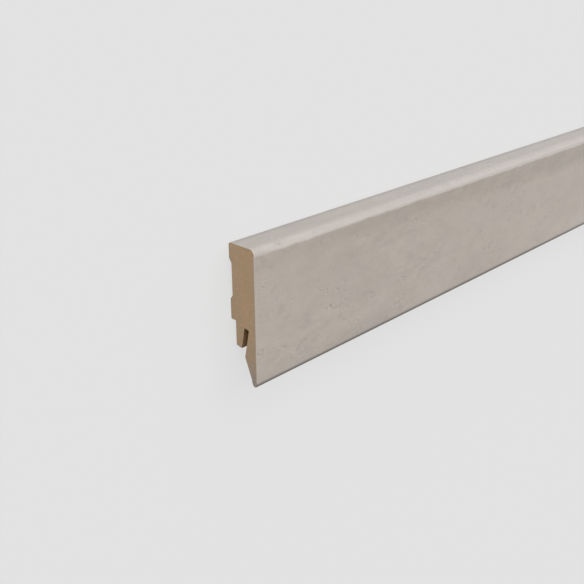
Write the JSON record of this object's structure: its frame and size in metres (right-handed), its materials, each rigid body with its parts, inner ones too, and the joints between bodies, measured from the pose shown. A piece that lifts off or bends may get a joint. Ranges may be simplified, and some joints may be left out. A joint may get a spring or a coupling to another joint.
{
  "type": "skirting board length",
  "caption": "Foil-wrapped fibreboard skirting in one straight length: rounded top edge, flat printed face, recessed back, tilted clip groove and pointed foot.",
  "frame": {"origin": "on the level floor that the board lies on, under the middle of its bounding box", "axes": "+X along the board, +Y up its height from the foot's tip to the top edge, +Z out of the printed face into the room"},
  "size_m": [2.4, 0.06, 0.0144],
  "materials": {
    "core": "sawn and milled medium density fibreboard, matt tan-brown",
    "foil": "printed decor foil, matt grey-beige with faint mottling"
  },
  "bodies": {
    "root": {"fibreboard_core": "core", "decor_foil": "foil"}
  },
  "joints": []
}
